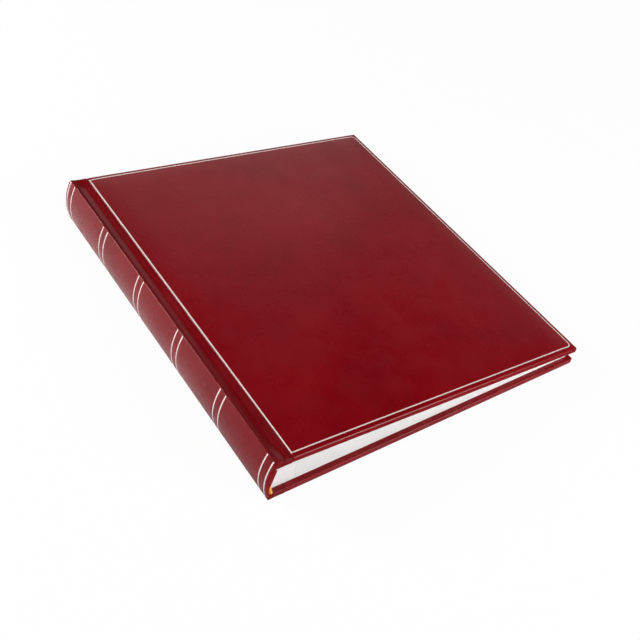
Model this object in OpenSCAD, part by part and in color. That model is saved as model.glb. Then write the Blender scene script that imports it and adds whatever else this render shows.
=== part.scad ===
// Padded book-bound stamp album with spine guards, lying closed on its back cover
// X runs from the spine to the fore-edge, Y from the tail to the head, Z up

/* [Covers] */
// Height of the covers from tail to head
cover_h = 310; // [260:1:340]
// Width of each cover from its joint to its fore-edge
cover_w = 275.2; // [220:0.2:320]
// Thickness of a finished cover at its edge
cover_t = 4.9; // [4.8:0.1:7]
// Thickness of the board inside a cover
board_t = 2.4; // [2:0.1:2.8]
// Thickness of the leather-look covering
skin_t = 0.6; // [0.4:0.05:0.8]
// How much higher the padding stands in the middle of the front cover
front_crown = 1.0; // [0.4:0.1:2]
// How much higher the padding stands in the middle of the back cover
back_crown = 0.3; // [0.1:0.1:0.6]
// How far in from the edge the padding still rises
crown_reach = 20; // [12:1:40]
// Rounding of the front cover's padded outer edges
edge_r = 2.2; // [1.5:0.1:2.6]
// Rounding of the back cover's outer edges
back_edge_r = 1; // [0.9:0.1:2.6]
// Rounding of the outer edge next to the joint
joint_edge_r = 1.2; // [0.8:0.1:1.6]
// Corner radius of the covers seen from above
corner_r = 2.5; // [2:0.1:6]
// Width of the covering turned in over the boards
turn_in = 16; // [12:1:24]
// Width of the mitre seam in a turned-in corner
mitre_w = 0.3; // [0.2:0.1:0.8]

/* [Spine and joints] */
// How far the rounded spine stands out past its shoulders
spine_bulge = 4; // [3:0.1:6]
// How far the front shoulder stands above the edge of the front cover
shoulder_rise = 1.5; // [0:0.1:2.5]
// Thickness of the headcaps, where the spine covering is rolled over at its ends
cap_t = 1.5; // [1.2:0.1:2]
// How far the front end of a headcap reaches in from the shoulder line
cap_reach = 2.7; // [2:0.1:3.5]
// Width of the grooved joint between the spine and a cover
joint_w = 13.1; // [12:0.1:18]
// Depth of the joint groove
groove_d = 2.4; // [0.8:0.1:2.6]
// Thickness of the curved card inside the spine
spine_card_t = 1.2; // [0.8:0.1:1.6]
// Thickness of the folded paper lining of the spine
hollow_t = 0.5; // [0.3:0.1:0.8]

/* [Foil] */
// Distance of the foil frame from the cover edges
foil_inset = 3.9; // [3:0.1:12]
// Width of a foil line
foil_w = 1.1; // [0.6:0.1:2]
// Thickness of the foil
foil_t = 0.08; // [0.05:0.01:0.15]
// Radius of the foil frame at the fore-edge corners
foil_r = 4; // [2:0.5:10]
// Number of foil line pairs across the spine
foil_pairs = 6; // [2:1:8]
// Distance between the two lines of a pair
foil_pair_gap = 7.1; // [4:0.1:10]
// Distance of the outer pairs from the ends of the spine
foil_pair_end = 6.2; // [5.5:0.1:14]

/* [Text block] */
// Thickness of a card leaf
leaf_t = 0.28; // [0.2:0.01:0.3]
// Thickness of a translucent interleaf
inter_t = 0.05; // [0.04:0.01:0.06]
// Thickness of a lining paper or fly-leaf
paper_t = 0.25; // [0.15:0.01:0.3]
// Opening between the covers at their joints
wedge_spine = 27.6; // [24:0.1:40]
// Opening between the covers at the fore-edge
wedge_fore = 7.4; // [7.2:0.1:12]
// How far the covers overhang the block
overhang = 4.5; // [2.5:0.1:6]
// Width of the spine guards, from the shoulder line
guard_w = 22; // [19:1:28]
// Diameter of the bead of a head or tail band
bead_d = 2.8; // [1.2:0.1:2.8]

/* [Hidden] */
leaf_count = 16;     // NODES and the node names follow it
glue_gap = 0.03;     // between layers that are glued together
sheet_gap = 0.02;    // between the guards, and between the foil and the spine
board_gap = 0.1;     // between the edges of a board and the covering
run_gap = 0.3;       // between bodies that move past each other
paste_inset = 4.5;   // margin of the covering left bare round a pastedown
foil_start = 0.6;    // first edge of the foil frame, from the side of the cover at the joint
foil_stop = 0.4;     // ends of the foil lines on the spine, from its shoulders
card_end = 3.2;      // edges of the spine card, from the shoulders
lining_inset = 1;    // ends of the spine lining, from the ends of the block
band_drop = 1;       // upper end of a head or tail band, below the front cover
cap_start = 0.2;     // lower end of a headcap, as a share of the opening
leaf_inset = 0.5;    // fore-edge of the leaves, inside the overhang
$fn = 48;

foil_out = foil_t + sheet_gap;
album_w = foil_out + spine_bulge + joint_w + cover_w;
spine_x = foil_out - album_w / 2;
shoulder_x = spine_x + spine_bulge;
board_x = shoulder_x + joint_w;
fore_x = album_w / 2;
half_h = cover_h / 2;
mitre_start = 2.5 * corner_r;

slope = atan((wedge_spine - wedge_fore) / cover_w);
back_z = cover_t + back_crown;
front_z = back_z + wedge_spine;

// spine arc, from the back shoulder to the front one
spine_h = front_z + cover_t + shoulder_rise;
spine_z0 = 0.3;
arc_h = (spine_h - spine_z0) / 2;
arc_mid = (spine_h + spine_z0) / 2;
arc_r = (arc_h * arc_h + spine_bulge * spine_bulge) / (2 * spine_bulge);
card_off = skin_t + glue_gap;
wall_t = 2 * skin_t + spine_card_t + hollow_t + 3 * glue_gap;

// heights between which the spine covering turns in, clear of the joint coverings
turn_z0 = back_z + run_gap;
turn_z1 = front_z - run_gap;

// sheets, counted from the bottom: fly-leaf, then leaf and interleaf in turn, then fly-leaf
sheet_count = 2 * leaf_count + 2;
block_y = half_h - overhang;
bead_y = min(bead_d, overhang - cap_t - run_gap / 3);
block_z0 = back_z + paper_t + run_gap / 3;
leaf_x0 = shoulder_x + guard_w + run_gap;
leaf_x1 = fore_x - overhang - leaf_inset;
sheet_len = leaf_x1 - leaf_x0;
paper_sum = 2 * paper_t + leaf_count * (leaf_t + inter_t);
room_root = opening(leaf_x0) - 2 * paper_t - run_gap;
room_fore = opening(leaf_x1) - 2 * paper_t - run_gap;
gap_root = (room_root - paper_sum) / (sheet_count - 1);
gap_fore = (room_fore - paper_sum) / (sheet_count - 1);

function two(k) = str(k < 10 ? "0" : "", k);

// opening between the covers at a place along X
function opening(x) = wedge_spine - (wedge_spine - wedge_fore) * (x - board_x) / cover_w;

// thickness of sheet i, and paper in the sheets under it
function sheet_t(i) = (i == 0 || i == sheet_count - 1) ? paper_t : (i % 2 == 1 ? leaf_t : inter_t);
function under(i) = i == 0 ? 0
    : paper_t + floor(i / 2) * leaf_t + floor((i - 1) / 2) * inter_t;
function root_z(i) = block_z0 + under(i) + i * gap_root;
function fore_z(i) = block_z0 + under(i) + i * gap_fore;
function sheet_slope(i) = atan((root_z(i) - fore_z(i)) / sheet_len);

// spine arc at height z, moved in by off
function arc_x(z, off) = spine_x + arc_r - sqrt(pow(arc_r - off, 2) - pow(z - arc_mid, 2));

// rise of a padded face at distance d from its edge
function rise(d, r, crown) =
    (d < r ? sqrt(r * r - pow(r - d, 2)) - r : 0) + crown * (1 - pow(1 - min(d / crown_reach, 1), 2));

// outline of a padded slab of length span: thickness t at the edges, radii ra and rb
function slab(span, t, ra, rb, crown) = concat(
    [[0, 0], [0, t - ra]],
    [for (d = STEPS) [d * ra, t + rise(d * ra, ra, crown)]],
    [for (d = REACH) [d * crown_reach, t + rise(d * crown_reach, ra, crown)]],
    [for (k = [len(REACH) - 1:-1:0]) let (d = REACH[k] * crown_reach) [span - d, t + rise(d, rb, crown)]],
    [for (k = [len(STEPS) - 1:-1:0]) let (d = STEPS[k] * rb) [span - d, t + rise(d, rb, crown)]],
    [[span, t - rb], [span, 0]]
);
STEPS = [0.04, 0.16, 0.36, 0.64, 1];
REACH = [0.22, 0.38, 0.58, 0.78, 1];

// extrudes an XZ outline between two heights along Y
module along_y(y0, y1) {
    translate([0, y1, 0])
        rotate([90, 0, 0])
            linear_extrude(height = y1 - y0)
                children();
}

// rectangle from x0 to x1 and -y to y with rounded fore-edge corners
module plan(x0, x1, y, r) {
    union() {
        translate([x0, -y])
            square([x1 - x0 - r, 2 * y]);
        translate([x1 - 2 * r, -y + r])
            square([2 * r, 2 * y - 2 * r]);
        for (s = [-1, 1])
            translate([x1 - r, s * (y - r)])
                circle(r);
    }
}

// padded cover body, flat on z = 0 with its crowned face up, its sides moved in by inset
module cover_body(inset, t, crown, round_r) {
    w = cover_w - 2 * inset;
    h = cover_h - 2 * inset;
    r = round_r - inset;
    rj = joint_edge_r - inset;
    translate([inset, 0, 0])
        intersection() {
            along_y(-h / 2, h / 2)
                polygon(slab(w, t, rj, r, crown));
            translate([0, -h / 2, 0])
                rotate([90, 0, 90])
                    linear_extrude(height = w)
                        polygon(slab(h, t, r, r, crown));
            linear_extrude(height = t + 2 * crown)
                plan(0, w, h / 2, corner_r - inset);
        }
}

// board of a cover, with the infill that brings it level with the turn-ins
module board() {
    side = skin_t + board_gap;
    fill = turn_in + glue_gap;
    translate([0, 0, skin_t + glue_gap])
        linear_extrude(height = board_t)
            plan(side, cover_w - side, half_h - side, corner_r - side);
    translate([fill, -half_h + fill, 0])
        cube([cover_w - 2 * fill, cover_h - 2 * fill, skin_t + board_gap]);
}

// foam between the board and the covering
module padding(crown, round_r) {
    in = skin_t + glue_gap;
    base = in + board_t + glue_gap;
    intersection() {
        translate([0, 0, in])
            cover_body(in, cover_t - 2 * in, crown, round_r);
        translate([0, -half_h, base])
            cube([cover_w, cover_h, cover_t]);
    }
}

// covering wrapped over a board, turned in on the inner face with mitred corners
module cover_skin(crown, round_r) {
    difference() {
        cover_body(0, cover_t, crown, round_r);
        translate([0, 0, skin_t])
            cover_body(skin_t, cover_t - 2 * skin_t, crown, round_r);
        translate([turn_in, -half_h + turn_in, -1])
            cube([cover_w - 2 * turn_in, cover_h - 2 * turn_in, skin_t + 2]);
        for (sx = [0, 1], sy = [-1, 1])
            translate([sx * cover_w, sy * half_h, 0])
                rotate([0, 0, (sx == 0 ? 0 : 180) - sy * (sx == 0 ? 45 : -45)])
                    translate([mitre_start, -mitre_w / 2, -skin_t / 2])
                        cube([turn_in * sqrt(2), mitre_w, skin_t]);
    }
}

// lining paper on the inner face of a cover
module pastedown() {
    in = paste_inset;
    translate([run_gap, -half_h + in, -paper_t])
        cube([cover_w - in - run_gap, cover_h - 2 * in, paper_t - glue_gap]);
}

module place_back() {
    translate([board_x, 0, back_z])
        mirror([0, 0, 1])
            children();
}

module place_front() {
    translate([board_x, 0, front_z])
        rotate([0, slope, 0])
            children();
}

// band that follows the spine arc, between two depths and two heights
module arc_band(off0, off1, z0, z1, y0, y1) {
    steps = 20;
    along_y(y0, y1)
        polygon(concat(
            [for (k = [0:steps]) let (z = z0 + (z1 - z0) * k / steps) [arc_x(z, off0), z]],
            [for (k = [steps:-1:0]) let (z = z0 + (z1 - z0) * k / steps) [arc_x(z, off1), z]]
        ));
}

// outline of a joint groove: distance from the shoulder as a share of its width, share of its depth
GROOVE = [
    [0.02, 0.1], [0.08, 0.36], [0.14, 0.72], [0.2, 0.95], [0.26, 1], [0.34, 0.97], [0.42, 0.93],
    [0.5, 0.89], [0.58, 0.83], [0.66, 0.7], [0.74, 0.54], [0.82, 0.4], [0.9, 0.28], [0.985, 0.2]
];

// covering of a joint under height z, which rises by up at the shoulder:
// a grooved strip whose ends turn in at a depth t
module joint_skin(z, t, up) {
    x0 = shoulder_x + skin_t + glue_gap;
    w = joint_w - skin_t - 2 * glue_gap;
    last = len(GROOVE) - 1;
    flap = [GROOVE[1][0], GROOVE[last][0]] * w;
    base = z - t + glue_gap;
    e = skin_t / 2;
    top = [for (g = GROOVE) [x0 + w * g[0], z + up * (1 - g[0]) - groove_d * g[1]]];
    along_y(-half_h, half_h)
        polygon(concat(
            top,
            [for (k = [last:-1:0]) top[k] - [0, skin_t]]
        ));
    for (s = [-1, 1]) {
        translate([0, s * (half_h - e), 0])
            along_y(-e, e)
                polygon(concat(
                    [for (k = [1:last]) top[k] - [0, e]],
                    [[x0 + flap[1], base], [x0 + flap[0], base]]
                ));
        translate([x0 + flap[0], s * (half_h - turn_in / 2) - turn_in / 2, base])
            cube([flap[1] - flap[0], turn_in, skin_t]);
    }
}

// cloth at height z that joins the block to a cover inside the joint
module inner_joint(z) {
    x0 = shoulder_x + wall_t + run_gap;
    translate([x0, -block_y, z])
        cube([board_x - run_gap - x0, 2 * block_y, paper_t - sheet_gap]);
}

module back_board() {
    color([0.62, 0.58, 0.52])
        place_back()
            board();
}

module back_padding() {
    color([0.92, 0.9, 0.82])
        place_back()
            padding(back_crown, back_edge_r);
}

module back_cover_skin() {
    color([0.45, 0.07, 0.1])
        place_back()
            cover_skin(back_crown, back_edge_r);
}

module back_pastedown() {
    color([0.93, 0.92, 0.9])
        place_back()
            pastedown();
}

module front_board() {
    color([0.62, 0.58, 0.52])
        place_front()
            board();
}

module front_padding() {
    color([0.92, 0.9, 0.82])
        place_front()
            padding(front_crown, edge_r);
}

module front_cover_skin() {
    color([0.45, 0.07, 0.1])
        place_front()
            cover_skin(front_crown, edge_r);
}

module front_pastedown() {
    color([0.93, 0.92, 0.9])
        place_front()
            pastedown();
}

module front_foil_frame() {
    a = foil_start;
    b = cover_w - foil_inset;
    y = half_h - foil_inset;
    color([0.9, 0.88, 0.86])
        place_front()
            difference() {
                translate([0, 0, foil_t])
                    cover_body(0, cover_t, front_crown, edge_r);
                cover_body(0, cover_t, front_crown, edge_r);
                translate([0, 0, -1])
                    linear_extrude(height = cover_t + front_crown + 2)
                        plan(a + foil_w, b - foil_w, y - foil_w, foil_r - foil_w);
                translate([0, 0, -1])
                    linear_extrude(height = cover_t + front_crown + 2)
                        difference() {
                            square([3 * cover_w, 2 * cover_h], center = true);
                            plan(a, b, y, foil_r);
                        }
            }
}

module back_joint_skin() {
    color([0.4, 0.04, 0.07])
        mirror([0, 0, 1])
            joint_skin(0, back_z, 0);
}

module front_joint_skin() {
    color([0.4, 0.04, 0.07])
        joint_skin(spine_h - shoulder_rise, cover_t, shoulder_rise);
}

module back_inner_joint() {
    color([0.85, 0.83, 0.78])
        inner_joint(back_z);
}

module front_inner_joint() {
    color([0.85, 0.83, 0.78])
        inner_joint(front_z - paper_t);
}

// rolled end of the spine covering, from depth off to a line that leans in towards the front
module headcap(off) {
    z0 = turn_z0 + cap_start * (turn_z1 - turn_z0);
    along_y(-cap_t / 2, cap_t / 2)
        polygon(concat(
            [for (k = [0:0.1:1]) let (z = z0 + (turn_z1 - z0) * k) [arc_x(z, off), z]],
            [[shoulder_x + cap_reach, turn_z1]]
        ));
}

module spine_skin() {
    e = skin_t / 2;
    inner = wall_t - hollow_t;
    color([0.45, 0.09, 0.13]) {
        arc_band(0, skin_t, spine_z0, spine_h, -half_h, half_h);
        for (s = [-1, 1]) {
            translate([0, s * (half_h - turn_in / 2), 0])
                arc_band(inner - skin_t, inner, turn_z0, turn_z1, -turn_in / 2, turn_in / 2);
            translate([0, s * (half_h - e), 0])
                arc_band(e, inner - e, turn_z0, turn_z1, -e, e);
            translate([0, s * (half_h - cap_t / 2), 0])
                headcap(inner - e);
        }
    }
}

module spine_card() {
    color([0.6, 0.56, 0.5])
        arc_band(card_off, card_off + spine_card_t, card_end, spine_h - card_end,
            -half_h + card_off, half_h - card_off);
}

module spine_hollow() {
    color([0.72, 0.6, 0.42])
        arc_band(wall_t - hollow_t + glue_gap, wall_t, block_z0, front_z - paper_t,
            -block_y + lining_inset, block_y - lining_inset);
}

module spine_foil_lines() {
    pitch = (cover_h - 2 * foil_pair_end) / (foil_pairs - 1);
    w = foil_w / 2;
    color([0.9, 0.88, 0.86])
        for (k = [0:foil_pairs - 1], s = [-1, 1])
            translate([0, -half_h + foil_pair_end + k * pitch + s * foil_pair_gap / 2, 0])
                arc_band(-foil_out, -sheet_gap, spine_z0 + foil_stop, spine_h - foil_stop, -w, w);
}

// strips between the roots of the leaves, one for each leaf and one for the back fly-leaf
module spine_guards() {
    x1 = shoulder_x + guard_w;
    back = wall_t + glue_gap;
    color([0.95, 0.94, 0.92])
        for (k = [0:leaf_count])
            along_y(-block_y, block_y) {
                z0 = root_z(max(2 * k - 1, 0));
                z1 = k == leaf_count ? root_z(sheet_count - 1) + paper_t : root_z(2 * k + 1) - sheet_gap;
                polygon(concat(
                    [for (s = [0:0.25:1]) let (z = z0 + (z1 - z0) * s) [arc_x(z, back), z]],
                    [[x1, z1], [x1, z0]]
                ));
            }
}

// cord bead and tape along one end of the block's spine
module band(side) {
    color([0.93, 0.72, 0.2])
        arc_band(wall_t + glue_gap, wall_t + glue_gap + bead_d, block_z0, front_z - paper_t - band_drop,
            side > 0 ? block_y + glue_gap : -block_y - glue_gap - bead_y,
            side > 0 ? block_y + glue_gap + bead_y : -block_y - glue_gap);
}

module headband() {
    band(1);
}

module tailband() {
    band(-1);
}

// sheet i of the block
module sheet(i) {
    translate([leaf_x0, -block_y, root_z(i)])
        rotate([0, sheet_slope(i), 0])
            cube([sheet_len, 2 * block_y, sheet_t(i)]);
}

module back_flyleaf() {
    color([0.94, 0.93, 0.91])
        sheet(0);
}

module front_flyleaf() {
    color([0.94, 0.93, 0.91])
        sheet(sheet_count - 1);
}

module leaf(k) {
    color([0.97, 0.96, 0.94])
        sheet(2 * k - 1);
}

module interleaf(k) {
    color([0.93, 0.94, 0.93])
        sheet(2 * k);
}

back_board();
back_padding();
back_cover_skin();
back_pastedown();
back_joint_skin();
front_joint_skin();
back_inner_joint();
front_inner_joint();
spine_skin();
spine_card();
spine_hollow();
spine_foil_lines();
spine_guards();
headband();
tailband();
back_flyleaf();
front_flyleaf();
front_board();
front_padding();
front_cover_skin();
front_pastedown();
front_foil_frame();
for (k = [1:leaf_count]) {
    leaf(k);
    interleaf(k);
}
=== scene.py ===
import logging
import math
from dataclasses import dataclass
from enum import Enum
from typing import ClassVar, Iterable, Sequence

import bmesh
import bpy
from mathutils import Matrix, Vector, noise


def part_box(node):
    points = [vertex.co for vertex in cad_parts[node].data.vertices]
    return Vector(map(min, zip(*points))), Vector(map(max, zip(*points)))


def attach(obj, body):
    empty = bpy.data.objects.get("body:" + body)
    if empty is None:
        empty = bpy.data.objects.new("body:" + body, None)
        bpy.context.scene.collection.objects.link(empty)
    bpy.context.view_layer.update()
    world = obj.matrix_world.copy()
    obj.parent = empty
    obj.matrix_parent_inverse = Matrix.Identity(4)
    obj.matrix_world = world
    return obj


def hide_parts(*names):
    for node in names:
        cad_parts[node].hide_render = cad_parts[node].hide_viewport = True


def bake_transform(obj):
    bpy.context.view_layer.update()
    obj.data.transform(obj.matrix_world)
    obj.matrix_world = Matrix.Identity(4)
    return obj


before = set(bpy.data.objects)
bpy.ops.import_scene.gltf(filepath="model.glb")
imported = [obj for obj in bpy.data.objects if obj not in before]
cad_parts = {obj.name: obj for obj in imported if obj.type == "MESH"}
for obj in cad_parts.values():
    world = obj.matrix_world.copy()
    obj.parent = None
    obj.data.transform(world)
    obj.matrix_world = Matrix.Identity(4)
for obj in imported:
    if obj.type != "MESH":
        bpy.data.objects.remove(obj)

log = logging.getLogger("stamp_album")

Point = tuple[float, float, float]
Rgba = tuple[float, float, float, float]
MM = 0.001


class Body(Enum):
    """Bodies of the album that pieces ride on."""

    BACK = "back_cover"
    BLOCK = "text_block"
    FRONT = "front_cover"


class Slot(Enum):
    """Material slots of the album's record."""

    LEATHERETTE = "burgundy_leatherette"
    BOARD = "binders_board"
    FOAM = "padding_foam"
    LINING = "lining_paper"
    CLOTH = "joint_cloth"
    KRAFT = "kraft_paper"
    FOIL = "silver_foil"
    CARD = "album_card"
    GLASSINE = "glassine"
    BAND = "gold_band"


@dataclass(frozen=True)
class AlbumSizes:
    """Main sizes of the album in millimetres.

    They are those of its solids, but for corner_r and frame_w, which are the visible corner and foil line.
    """

    cover_h: float = 310.0
    cover_w: float = 275.2
    cover_t: float = 4.9
    skin_t: float = 0.6
    crown_reach: float = 20.0
    front_crown: float = 1.0
    back_crown: float = 0.3
    edge_r: float = 2.2
    back_edge_r: float = 1.0
    joint_edge_r: float = 1.2
    corner_r: float = 1.4
    turn_in: float = 16.0
    spine_bulge: float = 4.0
    shoulder_rise: float = 1.5
    cap_t: float = 1.5
    cap_reach: float = 2.7
    cap_start: float = 0.2
    joint_w: float = 13.1
    groove_d: float = 2.4
    spine_card_t: float = 1.2
    hollow_t: float = 0.5
    foil_out: float = 0.1
    foil_inset: float = 3.9
    foil_start: float = 0.6
    foil_w: float = 1.1
    frame_w: float = 0.92
    foil_r: float = 4.0
    foil_pairs: int = 6
    foil_pair_gap: float = 7.1
    foil_pair_end: float = 6.2
    wedge_spine: float = 27.6
    wedge_fore: float = 7.4
    bead_d: float = 2.8
    glue_gap: float = 0.03
    run_gap: float = 0.3
    leaf_count: int = 16

    @property
    def half_h(self) -> float:
        """Half of the covers' height."""
        return self.cover_h / 2

    @property
    def spine_x(self) -> float:
        """Outermost place of the rounded spine."""
        return self.foil_out - (self.foil_out + self.spine_bulge + self.joint_w + self.cover_w) / 2

    @property
    def shoulder_x(self) -> float:
        """Line where the spine ends and the joints start."""
        return self.spine_x + self.spine_bulge

    @property
    def board_x(self) -> float:
        """Line where the joints end and the covers start."""
        return self.shoulder_x + self.joint_w

    @property
    def back_z(self) -> float:
        """Height of the back cover's inner face."""
        return self.cover_t + self.back_crown

    @property
    def front_z(self) -> float:
        """Height of the front cover's inner face at its joint."""
        return self.back_z + self.wedge_spine

    @property
    def spine_top(self) -> float:
        """Height of the front shoulder."""
        return self.front_z + self.cover_t + self.shoulder_rise

    @property
    def slope(self) -> float:
        """Angle by which the front cover falls towards its fore-edge."""
        return math.atan((self.wedge_spine - self.wedge_fore) / self.cover_w)


SIZES = AlbumSizes()


# ---------------------------------------------------------------- shader tools


class NodeTree:
    """Short calls for adding and joining the nodes of a tree."""

    tree: bpy.types.NodeTree

    def link(self, source: bpy.types.NodeSocket, target: bpy.types.NodeSocket) -> None:
        """Joins two sockets."""
        self.tree.links.new(source, target)

    def node(self, kind: str, **settings: object) -> bpy.types.Node:
        """Adds a node of a kind and sets its properties."""
        made = self.tree.nodes.new(kind)
        for key, value in settings.items():
            setattr(made, key, value)
        return made

    def put(self, node: bpy.types.Node, values: dict[str, object]) -> None:
        """Sets or links inputs of a node.

        Args:
            node: node whose inputs are set.
            values: for each input's name or number a constant or a socket to link.
        """
        for key, value in values.items():
            socket = node.inputs[int(key) if key.isdigit() else key]
            if isinstance(value, bpy.types.NodeSocket):
                self.link(value, socket)
            else:
                socket.default_value = value


class Finish(NodeTree):
    """A node tree for one material, with short calls for the nodes that the finishes use."""

    def __init__(self, name: str) -> None:
        """Starts an empty material.

        Args:
            name: name of the material.
        """
        self.material = bpy.data.materials.new(name)
        self.material.use_nodes = True
        self.tree = self.material.node_tree
        self.tree.nodes.clear()
        self.out = self.tree.nodes.new("ShaderNodeOutputMaterial")
        self.shader = self.tree.nodes.new("ShaderNodeBsdfPrincipled")
        self.link(self.shader.outputs[0], self.out.inputs["Surface"])

    def base(self, **values: object) -> None:
        """Sets the shader's own sockets, with spaces written as underscores."""
        self.put(self.shader, {k.replace("_", " "): v for k, v in values.items()})

    def place(self, scale: Point = (1, 1, 1), uv: bool = False) -> bpy.types.NodeSocket:
        """Gives coordinates to a texture.

        Args:
            scale: stretch along the three axes.
            uv: True for the sheet's own coordinates, else the object's.

        Returns:
            The vector socket.
        """
        source = self.node("ShaderNodeTexCoord").outputs["UV" if uv else "Object"]
        mapping = self.node("ShaderNodeMapping")
        self.put(mapping, {"Vector": source, "Scale": scale})
        return mapping.outputs[0]

    def noise(self, scale: float, detail: float = 2, rough: float = 0.5,
              where: bpy.types.NodeSocket | None = None) -> bpy.types.NodeSocket:
        """Adds a noise texture and returns its value."""
        made = self.node("ShaderNodeTexNoise")
        self.put(made, {"Vector": where or self.place(), "Scale": scale, "Detail": detail,
                        "Roughness": rough})
        return made.outputs[0]

    def cells(self, scale: float, feature: str = "F1", randomness: float = 1,
              where: bpy.types.NodeSocket | None = None) -> bpy.types.NodeSocket:
        """Adds a cell texture and returns its distance."""
        made = self.node("ShaderNodeTexVoronoi", feature=feature)
        self.put(made, {"Vector": where or self.place(), "Scale": scale, "Randomness": randomness})
        return made.outputs["Distance"]

    def math(self, what: str, a: object, b: object = 0.0, c: object = 0.0) -> bpy.types.NodeSocket:
        """Adds a sum and returns its result."""
        made = self.node("ShaderNodeMath", operation=what)
        self.put(made, {"0": a, "1": b, "2": c})
        return made.outputs[0]

    def ramp(self, value: bpy.types.NodeSocket, stops: Sequence[tuple[float, Rgba]]) -> bpy.types.NodeSocket:
        """Maps a value to colours.

        Args:
            value: socket between 0 and 1.
            stops: places and colours.

        Returns:
            The colour socket.
        """
        made = self.node("ShaderNodeValToRGB")
        band = made.color_ramp
        while len(band.elements) < len(stops):
            band.elements.new(1)
        for element, (spot, colour) in zip(band.elements, stops):
            element.position, element.color = spot, colour
        self.put(made, {"Fac": value})
        return made.outputs[0]

    def range(self, value: bpy.types.NodeSocket, low: float, high: float,
              to_low: float, to_high: float) -> bpy.types.NodeSocket:
        """Maps a range of a value to another one, clamped."""
        made = self.node("ShaderNodeMapRange")
        self.put(made, {"Value": value, "From Min": low, "From Max": high,
                        "To Min": to_low, "To Max": to_high})
        return made.outputs[0]

    def mix(self, share: object, a: object, b: object, how: str = "MIX") -> bpy.types.NodeSocket:
        """Mixes two colours and returns the result."""
        made = self.node("ShaderNodeMix", data_type="RGBA", blend_type=how)
        self.put(made, {"0": share, "6": a, "7": b})
        return made.outputs[2]

    def bump(self, height: bpy.types.NodeSocket, depth: float, strength: float = 1,
             under: bpy.types.NodeSocket | None = None) -> bpy.types.NodeSocket:
        """Turns a height into a bumped normal.

        Args:
            height: socket with the height, about 0 to 1.
            depth: height of the relief in metres.
            strength: share of the effect.
            under: normal that this one is laid over.

        Returns:
            The normal socket, which is linked to the shader as well.
        """
        made = self.node("ShaderNodeBump")
        self.put(made, {"Height": height, "Distance": depth, "Strength": strength})
        if under is not None:
            self.link(under, made.inputs["Normal"])
        self.link(made.outputs[0], self.shader.inputs["Normal"])
        return made.outputs[0]


# ---------------------------------------------------------------- finishes


@dataclass(frozen=True)
class Paint:
    """A finish with a name, which its kinds fill in."""

    name: str

    def fill(self, f: Finish) -> None:
        """Adds the finish's nodes to its tree."""
        raise NotImplementedError

    def make(self) -> bpy.types.Material:
        """Builds the material."""
        f = Finish(self.name)
        self.fill(f)
        return f.material


@dataclass(frozen=True)
class Leatherette(Paint):
    """Satin leather-look covering with a fine grain, a mottled dye and a dull place before an X range."""

    colour: Rgba = (0.194, 0.0009, 0.0044, 1)
    worn: Rgba = (0.219, 0.0024, 0.006, 1)
    deep: Rgba = (0.163, 0.0006, 0.0032, 1)
    roughness: float = 0.27
    dull: tuple[float, float] | None = None

    def fill(self, f: Finish) -> None:
        """Adds the finish's nodes."""
        cloud = f.noise(16, 5, 0.6)
        speck = f.noise(900, 3, 0.6)
        mottle = f.math("ADD", f.math("MULTIPLY", cloud, 0.7), f.math("MULTIPLY", speck, 0.3))
        colour = f.ramp(mottle, [(0.36, self.deep), (0.5, self.colour), (0.66, self.worn)])
        grain = f.cells(1300, "F1")
        crease = f.cells(620, "DISTANCE_TO_EDGE")
        fine = f.noise(2600, 3, 0.55)
        relief = f.math("ADD", f.math("MULTIPLY", f.range(crease, 0, 0.12, 0, 1), 0.55),
                        f.math("SUBTRACT", f.math("MULTIPLY", fine, 0.5), f.math("MULTIPLY", grain, 0.35)))
        rough = f.range(f.noise(40, 4, 0.6), 0.3, 0.7, self.roughness - 0.05, self.roughness + 0.07)
        if self.dull:
            along = f.node("ShaderNodeSeparateXYZ")
            f.link(f.place(), along.inputs[0])
            rough = f.math("MAXIMUM", rough, f.range(along.outputs[0], self.dull[0], self.dull[1], 1.0, 0.2))
        f.base(Base_Color=colour, Roughness=rough, Specular_IOR_Level=0.25)
        soft = f.bump(f.noise(55, 2, 0.5), 0.00012, 0.4)
        f.bump(relief, 0.00003, 0.4, soft)


@dataclass(frozen=True)
class HotFoil(Paint):
    """Thin silver foil stamped into the covering."""

    colour: Rgba = (0.88, 0.74, 0.7, 1)

    def fill(self, f: Finish) -> None:
        """Adds the finish's nodes."""
        spots = f.noise(2200, 3, 0.6)
        colour = f.ramp(spots, [(0.28, (0.5, 0.26, 0.26, 1)), (0.42, self.colour), (1, (0.95, 0.9, 0.88, 1))])
        f.base(Base_Color=colour, Metallic=0.2, Roughness=f.range(f.noise(700, 2, 0.5), 0.3, 0.7, 0.28, 0.42))
        f.bump(f.cells(1300, "F1"), 0.00003, 0.4)


@dataclass(frozen=True)
class BindersBoard(Paint):
    """Grey pressed board with stray fibres."""

    colour: Rgba = (0.3, 0.26, 0.21, 1)

    def fill(self, f: Finish) -> None:
        """Adds the finish's nodes."""
        fibres = f.noise(260, 6, 0.7, f.place((1, 6, 1)))
        colour = f.ramp(fibres, [(0.35, (0.2, 0.17, 0.14, 1)), (0.5, self.colour),
                                 (0.68, (0.42, 0.38, 0.32, 1))])
        f.base(Base_Color=colour, Roughness=0.92, Specular_IOR_Level=0.2)
        f.bump(f.noise(900, 4, 0.6), 0.0002, 0.6)


@dataclass(frozen=True)
class PaddingFoam(Paint):
    """Pale open-cell foam."""

    colour: Rgba = (0.8, 0.76, 0.62, 1)

    def fill(self, f: Finish) -> None:
        """Adds the finish's nodes."""
        cells = f.cells(1400, "F1")
        colour = f.ramp(cells, [(0, (0.55, 0.5, 0.38, 1)), (0.5, self.colour)])
        f.base(Base_Color=colour, Roughness=0.95, Specular_IOR_Level=0.15)
        f.bump(cells, 0.0004, 0.7)


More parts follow.
